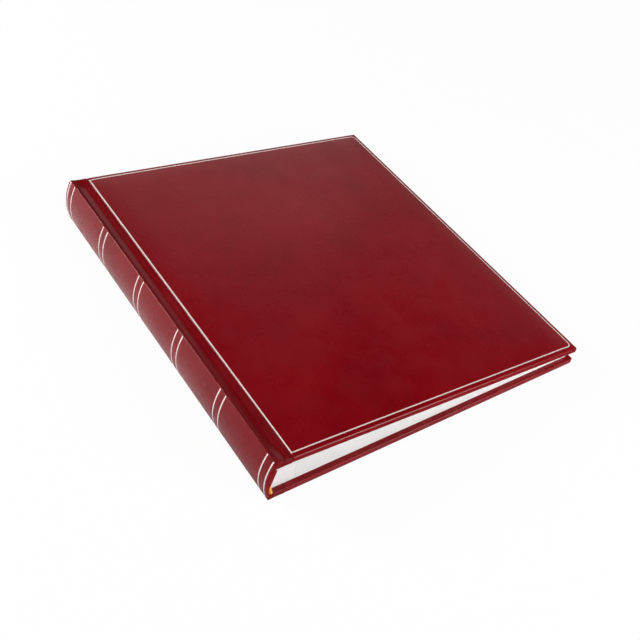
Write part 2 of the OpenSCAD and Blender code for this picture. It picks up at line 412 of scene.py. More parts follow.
@dataclass(frozen=True)
class PlainPaper(Paint):
    """Matt paper or card with a slight tooth, seen flat."""

    colour: Rgba
    shade: Rgba
    tooth: float = 1500
    relief: float = 0.00004

    def fill(self, f: Finish) -> None:
        """Adds the finish's nodes."""
        colour = f.ramp(f.noise(90, 6, 0.65), [(0.3, self.shade), (0.62, self.colour)])
        f.base(Base_Color=colour, Roughness=0.88, Specular_IOR_Level=0.25)
        f.bump(f.noise(self.tooth, 4, 0.6), self.relief, 0.5)


@dataclass(frozen=True)
class ShadedCardEdges(Paint):
    """Stack of cut card strips: the card's colour darkened, with fine dark lines along the layers, as painted
    shade for the shaded gaps between leaves.
    """

    colour: Rgba = (0.68, 0.65, 0.65, 1)

    def fill(self, f: Finish) -> None:
        """Adds the finish's nodes."""
        # Painted shade: the dark lines and the darkened card colour stand for the shade in the gaps between
        # the leaves.
        layers = f.noise(1, 2, 0.6, f.place((8, 8, 3600)))
        colour = f.ramp(layers, [(0.3, (0.55, 0.53, 0.52, 1)), (0.55, self.colour)])
        f.base(Base_Color=colour, Roughness=0.9, Specular_IOR_Level=0.2)
        f.bump(layers, 0.0001, 0.6)


@dataclass(frozen=True)
class QuadrillePage(Paint):
    """White album card with a faint printed grid inside a thin border."""

    colour: Rgba = (0.97, 0.955, 0.95, 1)
    ink: Rgba = (0.72, 0.72, 0.72, 1)
    pitch: float = 5.0
    margin: float = 14.0
    root: float = 34.0
    line: float = 0.16

    def fill(self, f: Finish) -> None:
        """Adds the finish's nodes."""
        split = f.node("ShaderNodeSeparateXYZ")
        f.put(split, {"Vector": f.place((1000, 1000, 1), uv=True)})
        width, height = Sheet.LENGTH, Sheet.HEIGHT
        marks = []
        inside = []
        for axis, low, high in (("X", self.root, width - self.margin),
                                ("Y", self.margin, height - self.margin)):
            along = split.outputs[axis]
            phase = f.math("WRAP", f.math("SUBTRACT", along, low), self.pitch / 2, -self.pitch / 2)
            marks.append(f.math("LESS_THAN", f.math("ABSOLUTE", phase), self.line / 2))
            middle, reach = (low + high) / 2, (high - low) / 2
            inside.append(f.math("SUBTRACT", f.math("ABSOLUTE", f.math("SUBTRACT", along, middle)), reach))
        edge = f.math("MAXIMUM", inside[0], inside[1])
        grid = f.math("MULTIPLY", f.math("MAXIMUM", marks[0], marks[1]), f.math("LESS_THAN", edge, 0))
        frame_line = f.math("LESS_THAN", f.math("ABSOLUTE", f.math("SUBTRACT", edge, 2)), 0.3)
        printed = f.math("MAXIMUM", f.math("MULTIPLY", grid, 0.45), f.math("MULTIPLY", frame_line, 0.9))
        tooth = f.noise(1800, 4, 0.6)
        paper = f.ramp(f.noise(60, 5, 0.6), [(0.3, (0.93, 0.917, 0.908, 1)), (0.6, self.colour)])
        f.base(Base_Color=f.mix(printed, paper, self.ink), Roughness=0.86, Specular_IOR_Level=0.25)
        f.bump(tooth, 0.00003, 0.5)


@dataclass(frozen=True)
class Glassine(Paint):
    """Translucent interleaf with a fine honeycomb emboss."""

    colour: Rgba = (0.9, 0.905, 0.89, 1)

    def fill(self, f: Finish) -> None:
        """Adds the finish's nodes."""
        web = f.range(f.cells(260, "DISTANCE_TO_EDGE", 0.35, f.place(uv=True)), 0, 0.09, 1, 0)
        clouds = f.noise(35, 4, 0.6, f.place(uv=True))
        colour = f.ramp(clouds, [(0.3, (0.82, 0.83, 0.815, 1)), (0.65, self.colour)])
        f.base(Base_Color=colour, Roughness=0.34, Specular_IOR_Level=0.5,
               Alpha=f.math("ADD", f.math("MULTIPLY", web, 0.12), 0.78))
        f.bump(web, 0.00006, 0.7)


@dataclass(frozen=True)
class WovenCloth(Paint):
    """Plain-woven cotton of the inner joints."""

    colour: Rgba = (0.82, 0.8, 0.74, 1)

    def fill(self, f: Finish) -> None:
        """Adds the finish's nodes."""
        threads = []
        for axis in ("X", "Y"):
            wave = f.node("ShaderNodeTexWave", wave_type="BANDS", bands_direction=axis, wave_profile="SIN")
            f.put(wave, {"Vector": f.place(uv=True), "Scale": 420, "Distortion": 0.6, "Detail Scale": 3})
            threads.append(wave.outputs["Fac"])
        weave = f.math("MULTIPLY", threads[0], threads[1])
        colour = f.ramp(weave, [(0, (0.6, 0.58, 0.52, 1)), (0.6, self.colour)])
        f.base(Base_Color=colour, Roughness=0.95, Specular_IOR_Level=0.15, Sheen_Weight=0.2)
        f.bump(weave, 0.00012, 0.7)


@dataclass(frozen=True)
class BandThread(Paint):
    """Glossy yellow thread of the head and tail bands."""

    colour: Rgba = (0.8, 0.4, 0.02, 1)

    def fill(self, f: Finish) -> None:
        """Adds the finish's nodes."""
        fibre = f.noise(3500, 3, 0.6)
        colour = f.ramp(fibre, [(0.3, (0.62, 0.3, 0.02, 1)), (0.6, self.colour)])
        f.base(Base_Color=colour, Roughness=0.45, Specular_IOR_Level=0.5, Sheen_Weight=0.3)
        f.bump(fibre, 0.00004, 0.5)


class FinishBook:
    """All finishes of the album, by name of what they cover."""

    def __init__(self) -> None:
        """Builds every material once."""
        shoulder = SIZES.shoulder_x * MM
        self.covering = Leatherette("burgundy_leatherette").make()
        # Painted shade: the groove's leatherette has darker colours than the cover's, standing for the shade
        # in the joint's groove; its dull place is a rougher band.
        self.groove = Leatherette("shaded_groove_leatherette", colour=(0.16, 0.001, 0.0038, 1),
                                  worn=(0.19, 0.0032, 0.0065, 1), deep=(0.127, 0.0006, 0.0022, 1),
                                  roughness=0.25, dull=(shoulder + 0.0034, shoulder + 0.0044)).make()
        self.foil = HotFoil("silver_foil").make()
        self.board = BindersBoard("grey_board").make()
        self.foam = PaddingFoam("padding_foam").make()
        self.lining = PlainPaper("lining_paper", (0.88, 0.87, 0.85, 1), (0.83, 0.82, 0.79, 1)).make()
        self.kraft = PlainPaper("kraft_paper", (0.4, 0.26, 0.14, 1), (0.3, 0.19, 0.1, 1), 700, 0.0001).make()
        self.shaded_card_edges = ShadedCardEdges("guard_card_painted_shade").make()
        self.page = QuadrillePage("quadrille_card").make()
        self.glassine = Glassine("glassine").make()
        self.cloth = WovenCloth("joint_cloth").make()
        self.thread = BandThread("band_thread").make()


# ---------------------------------------------------------------- mesh tools


def add_object(name: str, data: bpy.types.ID) -> bpy.types.Object:
    """Puts new data into the scene as an object at the origin."""
    made = bpy.data.objects.new(name, data)
    bpy.context.scene.collection.objects.link(made)
    return made


class MeshDraft:
    """Points and faces of a piece in millimetres, gathered before the mesh is made."""

    def __init__(self) -> None:
        """Starts an empty draft."""
        self.points: list[Point] = []
        self.faces: list[tuple[int, ...]] = []
        self.uv: list[tuple[float, float]] = []

    def add(self, points: Iterable[Point]) -> list[int]:
        """Adds points and returns their numbers."""
        start = len(self.points)
        self.points.extend(points)
        return list(range(start, len(self.points)))

    def strip(self, one: Sequence[int], other: Sequence[int], closed: bool = False) -> None:
        """Joins two rows of points with quads.

        Args:
            one: numbers of the first row.
            other: numbers of the second row.
            closed: True if the rows end where they start.
        """
        count = len(one)
        for k in range(count if closed else count - 1):
            n = (k + 1) % count
            self.faces.append((one[k], one[n], other[n], other[k]))

    def tube(self, rings: Sequence[Sequence[int]], closed: bool = False, capped: bool = True) -> None:
        """Joins closed rings one after the other.

        Args:
            rings: rings of point numbers.
            closed: True if the last ring meets the first.
            capped: True to close both ends of an open row of rings.
        """
        for a, b in zip(rings, rings[1:]):
            self.strip(a, b, True)
        if closed:
            self.strip(rings[-1], rings[0], True)
        elif capped:
            self.faces.append(tuple(reversed(rings[0])))
            self.faces.append(tuple(rings[-1]))

    def slab(self, low: Sequence[Sequence[int]], top: Sequence[Sequence[int]]) -> None:
        """Closes two layers of a thin sheet.

        Args:
            low: rows of the lower layer.
            top: rows of the upper layer.
        """
        for a, b in zip(low, low[1:]):
            self.strip(a, b)
        for a, b in zip(top, top[1:]):
            self.strip(b, a)
        under, over = ([r[0] for r in rows] + rows[-1][1:] + [r[-1] for r in rows[-2::-1]] + rows[0][-2:0:-1]
                       for rows in (low, top))
        self.strip(over, under, True)

    def build(self, name: str, finish: bpy.types.Material, place: Matrix | None = None,
              smooth: bool = True) -> bpy.types.Object:
        """Makes the object, with its place in its mesh and its faces outward.

        Args:
            name: name of the piece.
            finish: material of the piece.
            place: where the draft stands in the album's frame, in metres.
            smooth: True for smooth shading.

        Returns:
            The new object.
        """
        mesh = bpy.data.meshes.new(name)
        mesh.from_pydata([tuple(c * MM for c in p) for p in self.points], [], self.faces)
        if self.uv:
            layer = mesh.uv_layers.new(name="sheet")
            for loop in mesh.loops:
                layer.data[loop.index].uv = self.uv[loop.vertex_index]
        if place is not None:
            mesh.transform(place)
        mesh.validate()
        shell = bmesh.new()
        shell.from_mesh(mesh)
        bmesh.ops.recalc_face_normals(shell, faces=shell.faces)
        shell.to_mesh(mesh)
        shell.free()
        mesh.polygons.foreach_set("use_smooth", [smooth] * len(mesh.polygons))
        mesh.materials.append(finish)
        return add_object(name, mesh)


def settle(piece: bpy.types.Object) -> bpy.types.Object:
    """Applies every modifier of a piece and returns it with a plain mesh."""
    bpy.context.view_layer.update()
    graph = bpy.context.evaluated_depsgraph_get()
    mesh = bpy.data.meshes.new_from_object(piece.evaluated_get(graph))
    old = piece.data
    piece.modifiers.clear()
    piece.data = mesh
    mesh.name = old.name
    bpy.data.meshes.remove(old)
    return piece


def harden(piece: bpy.types.Object, degrees: float = 35) -> bpy.types.Object:
    """Keeps edges sharper than an angle crisp under smooth shading."""
    piece.data.set_sharp_from_angle(angle=math.radians(degrees))
    return piece


def report(piece: bpy.types.Object) -> None:
    """Logs a finished piece."""
    log.info("%s: %d points, %d faces", piece.name, len(piece.data.vertices), len(piece.data.polygons))


def seat(piece: bpy.types.Object, body: Body, node: str) -> None:
    """Sets a finished piece on its body in place of its solid.

    Args:
        piece: the finished piece.
        body: body that it rides on.
        node: solid that it stands for.
    """
    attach(piece, body.value)
    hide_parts(node)
    report(piece)


def smoothstep(value: float) -> float:
    """Eases a share between 0 and 1."""
    value = min(max(value, 0.0), 1.0)
    return value * value * (3 - 2 * value)


def dress(node: str, finish: bpy.types.Material) -> None:
    """Gives a solid that keeps its shape its finish."""
    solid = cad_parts[node]
    if not solid.material_slots:
        solid.data.materials.append(finish)
    for place in solid.material_slots:
        place.material = finish
    log.info("%s: finish %s", node, finish.name)


# ---------------------------------------------------------------- covers


@dataclass(frozen=True)
class CoverForm:
    """Shape of one padded cover, lying with its inner face on z = 0 and its joint side at u = 0."""

    crown: float
    fold_r: float
    seed: float
    sizes: AlbumSizes = SIZES

    def to_edge(self, u: float, v: float) -> float:
        """Distance to the head, tail or fore-edge, round the outer corners."""
        s = self.sizes
        r = s.corner_r
        a, b = u - (s.cover_w - r), abs(v) - (s.half_h - r)
        if a > 0 and b > 0:
            return r - math.hypot(a, b)
        return min(s.cover_w - u, s.half_h - abs(v))

    def swell(self, distance: float) -> float:
        """Share of the padding's rise at a distance from an edge."""
        return 1 - (1 - min(max(distance, 0) / self.sizes.crown_reach, 1)) ** 2

    def top(self, u: float, v: float) -> float:
        """Height of the padded face."""
        s = self.sizes
        edge, near = self.to_edge(u, v), min(u, s.cover_w - u)
        a, b = max(0.0, 1 - edge / self.fold_r), max(0.0, 1 - u / s.joint_edge_r)
        q = min(1.0, math.hypot(a, b))
        radius = (a * self.fold_r + b * s.joint_edge_r) / (a + b) if a + b else 0.0
        rise = self.crown * self.swell(near) * self.swell(s.half_h - abs(v))
        wave = noise.noise(Vector((u * 0.02, v * 0.02, self.seed))) * 0.09
        wave *= smoothstep(edge / 12) * self.crown
        return s.cover_t - radius * (1 - math.sqrt(max(0.0, 1 - q * q))) + rise + wave


@dataclass(frozen=True)
class CoverSide:
    """What a cover and its joint share.

    Args:
        side: body of the front or the back cover.
        finishes: the album's finishes.
        sizes: the album's sizes.
    """

    side: Body
    finishes: FinishBook
    sizes: AlbumSizes = SIZES

    @property
    def front(self) -> bool:
        """True for the front cover's side."""
        return self.side is Body.FRONT

    @property
    def prefix(self) -> str:
        """First word of the names on this side."""
        return "front" if self.front else "back"


class PaddedCover(CoverSide):
    """One cover: padded covering, board, padding, pastedown and, in front, the foil frame."""

    NEAR = (0.0, 0.04, 0.14, 0.3, 0.6, 0.9, 1.2, 1.6, 2.0, 2.5, 3.0, 3.6, 4.4, 5.5, 7.0, 9.0, 11.5,
            14.0, 17.0, 20.0, 24.0)
    STEP = 7.0
    SKIN = 0.55
    WALL = ((0, 1.8), (0, 1), (0.08, 0.61), (0.29, 0.29), (0.61, 0.08), (1, 0), (3, 0))

    @property
    def form(self) -> CoverForm:
        """Shape of the padded face."""
        s = self.sizes
        if self.front:
            return CoverForm(s.front_crown, s.edge_r - 0.2, 3.1)
        return CoverForm(s.back_crown, s.back_edge_r - 0.5, 8.6)

    @property
    def place(self) -> Matrix:
        """Where the cover stands in the album's frame."""
        s = self.sizes
        if self.front:
            return Matrix.Translation((s.board_x * MM, 0, s.front_z * MM)) @ Matrix.Rotation(s.slope, 4, "Y")
        return Matrix.Translation((s.board_x * MM, 0, s.back_z * MM)) @ Matrix.Diagonal((1, 1, -1, 1))

    def lines(self, low: float, high: float) -> list[float]:
        """Grid lines between two edges, close together near both."""
        inner_low, inner_high = low + self.NEAR[-1], high - self.NEAR[-1]
        count = round((inner_high - inner_low) / self.STEP)
        middle = [inner_low + (inner_high - inner_low) * k / count for k in range(1, count)]
        return [low + d for d in self.NEAR] + middle + [high - d for d in reversed(self.NEAR)]

    def rounded(self, u: float, v: float, inset: float) -> tuple[float, float]:
        """Moves a point of the square outline's grid so that the fore-edge corners are round.

        Args:
            u: place across the cover.
            v: place along the cover.
            inset: how far in the outline is.

        Returns:
            The moved place.
        """
        s = self.sizes
        r = s.corner_r - inset
        cu, cv = s.cover_w - inset - r, s.half_h - inset - r
        a, b = u - cu, abs(v) - cv
        if r <= 0 or a <= 0 or b <= 0:
            return u, v
        shrink = max(a, b) / math.hypot(a, b)
        return cu + a * shrink, math.copysign(cv + b * shrink, v)

    def covering(self) -> bpy.types.Object:
        """Builds the covering: padded face, rounded walls and mitred turn-ins."""
        s = self.sizes
        draft = MeshDraft()
        us, vs = self.lines(0, s.cover_w), self.lines(-s.half_h, s.half_h)
        rows = []
        for v in vs:
            spots = [self.rounded(u, v, 0) for u in us]
            rows.append(draft.add((u, w, self.form.top(u, w)) for u, w in spots))
        for a, b in zip(rows, rows[1:]):
            draft.strip(a, b)
        rim = rows[0] + [r[-1] for r in rows[1:]] + rows[-1][-2::-1] + [r[0] for r in rows[-2:0:-1]]
        square = ([(u, vs[0]) for u in us] + [(us[-1], v) for v in vs[1:]]
                  + [(u, vs[-1]) for u in us[-2::-1]] + [(us[0], v) for v in vs[-2:0:-1]])
        corners = {(us[0], vs[0]), (us[0], vs[-1]), (us[-1], vs[0]), (us[-1], vs[-1])}
        last = rim
        mitre = 2.5 * s.corner_r
        hem = ((mitre, 0), (mitre + 0.5, 0), (11, 0), (s.turn_in - 0.4, 0), (s.turn_in, 0.05))
        for inset, z in self.WALL + hem:
            ring = []
            for u, v in square:
                spot = (inset + u * (s.cover_w - 2 * inset) / s.cover_w, v * (s.half_h - inset) / s.half_h)
                groove = 0.3 if inset > mitre and (u, v) in corners else 0
                ring.append((*self.rounded(*spot, inset), z + groove))
            numbers = draft.add(ring)
            draft.strip(last, numbers, True)
            last = numbers
        skin = draft.build(f"{self.prefix}_covering", self.finishes.covering, self.place)
        shell = skin.modifiers.new("thickness", "SOLIDIFY")
        shell.thickness = self.SKIN * MM
        shell.offset = -1
        shell.use_even_offset = False
        return harden(settle(skin), 50)

    def frame_path(self, inset: float) -> list[tuple[float, float]]:
        """Line of the foil frame, moved in from its outer edge."""
        s = self.sizes
        a = s.foil_start + inset
        b = s.cover_w - s.foil_inset - inset
        y = s.half_h - s.foil_inset - inset
        r = s.foil_r - inset
        steps = 64
        bends = [math.pi / 2 * k / 8 for k in range(1, 9)]
        path = [(a + (b - r - a) * k / steps, -y) for k in range(steps + 1)]
        path += [(b - r + r * math.sin(t), -y + r - r * math.cos(t)) for t in bends]
        path += [(b, -y + r + (2 * y - 2 * r) * k / steps) for k in range(1, steps + 1)]
        path += [(b - r + r * math.cos(t), y - r + r * math.sin(t)) for t in bends]
        path += [(b - r - (b - r - a) * k / steps, y) for k in range(1, steps + 1)]
        path += [(a, y - 2 * y * k / steps) for k in range(1, steps)]
        return path

    def foil_frame(self) -> bpy.types.Object:
        """Builds the foil frame as a thin raised line on the padded face."""
        w = self.sizes.frame_w
        draft = MeshDraft()
        profile = ((0.0, -0.1), (0.02, 0.045), (w / 2, 0.06), (w - 0.02, 0.045), (w, -0.1))
        loops = []
        for inset, lift in profile:
            loops.append(draft.add((u, v, self.form.top(u, v) + lift) for u, v in self.frame_path(inset)))
        for a, b in zip(loops, loops[1:] + loops[:1]):
            draft.strip(b, a, True)
        return harden(draft.build(f"{self.prefix}_foil_line", self.finishes.foil, self.place), 40)

    def build(self) -> None:
        """Builds the cover's pieces and sets them on its body."""
        skin = self.covering()
        seat(skin, self.side, f"{self.prefix}_cover_skin")
        dress(f"{self.prefix}_board", self.finishes.board)
        dress(f"{self.prefix}_padding", self.finishes.foam)
        dress(f"{self.prefix}_pastedown", self.finishes.lining)
        if self.front:
            seat(self.foil_frame(), self.side, "front_foil_frame")


# ---------------------------------------------------------------- spine


@dataclass(frozen=True)
class SpineArc:
    """Rounded line of the spine from the back shoulder to the front one."""

    sizes: AlbumSizes = SIZES
    foot: float = 0.3

    @property
    def middle(self) -> float:
        """Height of the arc's middle."""
        return (self.sizes.spine_top + self.foot) / 2

    @property
    def half(self) -> float:
        """Half of the arc's height."""
        return (self.sizes.spine_top - self.foot) / 2

    @property
    def radius(self) -> float:
        """Radius of the arc."""
        bulge = self.sizes.spine_bulge
        return (self.half * self.half + bulge * bulge) / (2 * bulge)

    def angle(self, share: float) -> float:
        """Angle at a place on the arc, from its middle."""
        return (2 * share - 1) * math.asin(self.half / self.radius)

    def x_at(self, z: float) -> float:
        """Place across of the arc's outer face at a height."""
        return self.sizes.spine_x + self.radius - math.sqrt(self.radius ** 2 - (z - self.middle) ** 2)

    def at(self, share: float, depth: float = 0.0) -> tuple[float, float]:
        """A place on the arc.

        Args:
            share: from 0 at the back shoulder to 1 at the front one.
            depth: how far in from the outer face.

        Returns:
            X and Z.
        """
        angle = self.angle(share)
        centre = self.sizes.spine_x + self.radius
        r = self.radius - depth
        return centre - r * math.cos(angle), self.middle + r * math.sin(angle)

    def rolled(self, share: float, turn: float, reach: float) -> tuple[float, float]:
        """A place on the bead that rounds a shoulder over.

        Args:
            share: place of the shoulder on the arc.
            turn: angle past the end of the arc.
            reach: distance from the middle of the bead.

        Returns:
            X and Z.
        """
        x, z = self.at(share, self.sizes.skin_t)
        angle = self.angle(share) + turn
        return x - reach * math.cos(angle), z + reach * math.sin(angle)


@dataclass(frozen=True)
class RoundedSpine:
    """Spine covering with its turned-in ends, the foil lines and the inner layers."""

    finishes: FinishBook
    sizes: AlbumSizes = SIZES
    arc: SpineArc = SpineArc()

    ACROSS: ClassVar[int] = 44
    ALONG: ClassVar[int] = 40
    BEAD: ClassVar[int] = 5
    BEAD_TURN: ClassVar[float] = 82.0
    END: ClassVar[float] = 0.011
    FOLD_START: ClassVar[float] = 4.6
    FOLD_REACH: ClassVar[float] = 1.4
    CORNER_REACH: ClassVar[float] = 3.0
    FOIL_PROFILE: ClassVar[tuple[tuple[float, float], ...]] = (
        (-0.5, -0.05), (-0.47, 0.05), (0, 0.065), (0.47, 0.05), (0.5, -0.05))

    def cap_depth(self, share: float) -> float:
        """Depth that a headcap reaches under the outer face, at a place across the spine."""
        s = self.sizes
        x, z = self.arc.at(share)
        low, high = s.back_z + s.run_gap, s.front_z - 0.05
        start = low + s.cap_start * (high - low)
        wall = 2 * s.skin_t + s.spine_card_t
        foot = self.arc.x_at(start) + wall
        lean = (z - start) / (high - start)
        side = s.shoulder_x + 0.15
        if lean <= 0:
            return (side - x) * smoothstep((low - z) / 0.3)
        edge = foot + (s.shoulder_x + s.cap_reach - foot) * min(lean, 1.0)
        return edge + (side - edge) * smoothstep((z - high - 0.1) / 0.2) - x

    def end_roll(self, depth: float, cap: float, turned: float) -> list[tuple[float, float]]:
        """Half of the covering's section along the spine, from its middle round one end.

        Args:
            depth: thickness of the turned-in part.
            cap: depth of the headcap at the very end.
            turned: how far back the turned-in part reaches from the end.

        Returns:
            Distance from the end and depth under the outer face.
        """
        r = min(0.6, depth / 2)
        cap = max(cap, depth)
        quarter = [math.pi / 2 * k / 4 for k in range(5)]
        outer = [(r - r * math.sin(t), r - r * math.cos(t)) for t in quarter]
        inner = [(r - r * math.cos(t), cap - r + r * math.sin(t)) for t in quarter]
        back = self.sizes.cap_t
        inner += [(back, depth + 0.75 * (cap - depth)), (back + 0.1, depth), (turned * 0.5, depth)]
        return outer + inner + [(turned, depth)]

    def covering(self) -> bpy.types.Object:
        """Builds the spine covering."""
        s = self.sizes
        draft = MeshDraft()
        full = 2 * s.skin_t + s.spine_card_t + 2 * s.glue_gap
        rings = []
        for k in range(-self.BEAD, self.ACROSS + self.BEAD + 1):
            within = min(max(k, 0), self.ACROSS)
            share = 0.5 - (0.5 - self.END) * math.cos(math.pi * within / self.ACROSS)
            turn = math.radians(self.BEAD_TURN / self.BEAD) * (k - within)
            height = self.arc.at(share)[1]
            room = min(height, s.spine_top - height)
            fold = smoothstep((room - self.FOLD_START) / self.FOLD_REACH)
            depth = s.skin_t + 0.05 + (full - s.skin_t - 0.05) * fold
            corner = 1 - smoothstep(room / self.CORNER_REACH)
            short = 0.9 * corner ** 2 + 0.05 * smoothstep((height - s.front_z + 0.2) / 0.1)
            half = self.end_roll(depth, self.cap_depth(share), s.turn_in)
            section = [(s.half_h - d, z) for d, z in half]
            inside = depth - (s.skin_t - 0.02) * fold - 0.01
            section += [(s.half_h - s.turn_in, inside), (s.half_h - 0.65, inside),
                        (s.half_h - 0.65, s.skin_t)]
            reach = s.half_h - 0.55
            outer = [(reach - 2 * reach * n / self.ALONG, 0.0) for n in range(1, self.ALONG)]
            mirrored = [(-y, z) for y, z in reversed(section)]
            loop = list(reversed(section)) + outer + list(reversed(mirrored))
            ring = []
            for y, z in loop:
                if turn:
                    px, pz = self.arc.rolled(share, turn, max(s.skin_t - z, 0.01))
                else:
                    px, pz = self.arc.at(share, z)
                drop = 0.7 * corner * (1 - smoothstep((s.half_h - abs(y)) / self.CORNER_REACH))
                ring.append((px, y * (1 - short / s.half_h), pz + math.copysign(drop, self.arc.middle - pz)))
            rings.append(draft.add(ring))
        draft.tube(rings)
        return harden(draft.build("spine_covering", self.finishes.covering), 50)

    def foil_lines(self) -> bpy.types.Object:
        """Builds one pair of foil lines and repeats it along the spine."""
        s = self.sizes
        draft = MeshDraft()
        for side in (-1, 1):
            middle = side * s.foil_pair_gap / 2
            rings = []
            for k in range(37):
                share = 0.012 + 0.976 * k / 36
                ring = []
                for across, lift in self.FOIL_PROFILE:
                    px, pz = self.arc.at(share, -lift)
                    ring.append((px, middle + across * s.foil_w, pz))
                rings.append(draft.add(ring))
            draft.tube(rings)
        pair = harden(draft.build("spine_foil_pairs", self.finishes.foil), 40)
        pitch = (s.cover_h - 2 * s.foil_pair_end) / (s.foil_pairs - 1)
        first = -s.half_h + s.foil_pair_end
        RowOfCopies("foil_pair_row", s.foil_pairs, Vector((0, first * MM, 0)), Vector((0, pitch * MM, 0)),
                    self.finishes.foil).apply(pair)
        return pair

    def build(self) -> None:
        """Builds the spine's pieces and sets them on the block."""
        seat(self.covering(), Body.BLOCK, "spine_skin")
        seat(self.foil_lines(), Body.BLOCK, "spine_foil_lines")
        dress("spine_card", self.finishes.board)
        dress("spine_hollow", self.finishes.kraft)
        dress("spine_guards", self.finishes.shaded_card_edges)


# ---------------------------------------------------------------- node trees


class NodeRecipe(NodeTree):
    """A Geometry Nodes tree with named inputs that is applied to a piece and then removed."""

    def __init__(self, name: str) -> None:
        """Starts a tree.

        Args:
            name: name of the tree.
        """
        self.tree = bpy.data.node_groups.new(name, "GeometryNodeTree")
        self.tree.interface.new_socket("Geometry", in_out="INPUT", socket_type="NodeSocketGeometry")
        self.tree.interface.new_socket("Geometry", in_out="OUTPUT", socket_type="NodeSocketGeometry")
        self.values: dict[str, object] = {}

    def input(self, name: str, kind: str, value: object) -> None:
        """Adds a named input with the value that this piece uses."""
        socket = self.tree.interface.new_socket(name, in_out="INPUT", socket_type=kind)
        self.values[socket.identifier] = value

    def finish(self, geometry: bpy.types.NodeSocket, material: bpy.types.Material) -> None:
        """Ends the tree in realized instances with a material."""
        real = self.node("GeometryNodeRealizeInstances")
        painted = self.node("GeometryNodeSetMaterial")
        painted.inputs["Material"].default_value = material
        out = self.node("NodeGroupOutput")
        self.link(geometry, real.inputs[0])
        self.link(real.outputs[0], painted.inputs["Geometry"])
        self.link(painted.outputs[0], out.inputs[0])

    def apply(self, piece: bpy.types.Object) -> bpy.types.Object:
        """Runs the tree on a piece and keeps the result as its mesh."""
        modifier = piece.modifiers.new(self.tree.name, "NODES")
        modifier.node_group = self.tree
        for identifier, value in self.values.items():
            modifier[identifier] = value
        return settle(piece)


class RowOfCopies(NodeRecipe):
    """Copies of the piece itself in a straight row."""

    def __init__(self, name: str, count: int, start: Vector, step: Vector,
                 material: bpy.types.Material) -> None:
        """Builds the tree.

        Args:
            name: name of the tree.
            count: number of copies.
            start: place of the first copy.
            step: from one copy to the next.
            material: finish of the copies.
        """
        super().__init__(name)
        self.input("Count", "NodeSocketInt", count)
        self.input("Start", "NodeSocketVector", tuple(start))
        self.input("Step", "NodeSocketVector", tuple(step))
        given = self.node("NodeGroupInput")
        row = self.node("GeometryNodeMeshLine", mode="OFFSET")
        copies = self.node("GeometryNodeInstanceOnPoints")
        self.put(row, {"Count": given.outputs["Count"], "Start Location": given.outputs["Start"],
                       "Offset": given.outputs["Step"]})
        self.put(copies, {"Points": row.outputs[0], "Instance": given.outputs["Geometry"]})
        self.finish(copies.outputs[0], material)


class ThreadWrap(NodeRecipe):
    """Thread rings wound side by side round a cord that follows the piece's line."""

    def circle(self, radius: bpy.types.NodeSocket, sides: int) -> bpy.types.NodeSocket:
        """Adds a circle and returns its curve."""
        made = self.node("GeometryNodeCurvePrimitiveCircle")
        self.put(made, {"Resolution": sides, "Radius": radius})
        return made.outputs["Curve"]

    def __init__(self, name: str, pitch: float, cord_r: float, thread_r: float,
                 material: bpy.types.Material) -> None:
        """Builds the tree.

        Args:
            name: name of the tree.
            pitch: distance between rings.
            cord_r: radius of the cord.
            thread_r: radius of the thread.
            material: finish of cord and thread.
        """
        super().__init__(name)
        self.input("Pitch", "NodeSocketFloat", pitch)
        self.input("Cord Radius", "NodeSocketFloat", cord_r)
        self.input("Thread Radius", "NodeSocketFloat", thread_r)
        given = self.node("NodeGroupInput").outputs
        line = self.node("GeometryNodeMeshToCurve")
        spaced = self.node("GeometryNodeResampleCurve", mode="LENGTH")
        rings = self.node("GeometryNodeInstanceOnPoints")
        wound, cord = self.node("GeometryNodeCurveToMesh"), self.node("GeometryNodeCurveToMesh")
        turned = self.node("FunctionNodeAlignRotationToVector", axis="Z")
        ring = self.circle(given["Cord Radius"], 20)
        thread = self.circle(given["Thread Radius"], 7)
        core = self.circle(given["Cord Radius"], 16)
        self.put(line, {"Mesh": given["Geometry"]})
        self.put(spaced, {"Curve": line.outputs[0], "Length": given["Pitch"]})
        self.put(wound, {"Curve": ring, "Profile Curve": thread})
        self.put(turned, {"Vector": self.node("GeometryNodeInputTangent").outputs[0]})
        self.put(rings, {"Points": spaced.outputs[0], "Instance": wound.outputs[0],
                         "Rotation": turned.outputs[0]})
        self.put(cord, {"Curve": line.outputs[0], "Profile Curve": core, "Fill Caps": True})
        both = self.node("GeometryNodeJoinGeometry")
        self.link(cord.outputs[0], both.inputs[0])
        self.link(rings.outputs[0], both.inputs[0])
        self.finish(both.outputs[0], material)


@dataclass(frozen=True)
class EndBand:
    """Cord bead with yellow thread at the head (side 1) or the tail (side -1) of the block."""

    name: str
    side: int
    finishes: FinishBook
    sizes: AlbumSizes = SIZES

    PITCH: ClassVar[float] = 0.42
    CORD_R: ClassVar[float] = 1.15
    THREAD_R: ClassVar[float] = 0.24
    END_ROOM: ClassVar[float] = 1.2

    def build(self) -> None:
        """Builds the band and sets it on the block."""
        s = self.sizes
        low, high = (tuple(c / MM for c in corner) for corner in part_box(self.name))
        arc = SpineArc(s)
        wall = 2 * s.skin_t + s.spine_card_t + s.hollow_t + 4 * s.glue_gap
        y = (low[1] + high[1]) / 2
        line = []
        for k in range(41):
            share = k / 40
            px, pz = arc.at(share, wall + s.bead_d / 2)
            if low[2] + self.END_ROOM <= pz <= high[2] - self.END_ROOM:
                foot = 1 - smoothstep((pz - low[2] - 1.3) / 2.5)
                line.append(((px - 0.4 * foot) * MM, (y + self.side * 2.2 * foot) * MM,
                             (pz - 0.9 * foot) * MM))
        mesh = bpy.data.meshes.new(f"{self.name}_thread")
        mesh.from_pydata(line, [(k, k + 1) for k in range(len(line) - 1)], [])
        band = add_object(f"{self.name}_thread", mesh)
        ThreadWrap(f"{self.name}_wrap", self.PITCH * MM, self.CORD_R * MM, self.THREAD_R * MM,
                   self.finishes.thread).apply(band)
        band.data.polygons.foreach_set("use_smooth", [True] * len(band.data.polygons))
        seat(band, Body.BLOCK, self.name)


# ---------------------------------------------------------------- joints


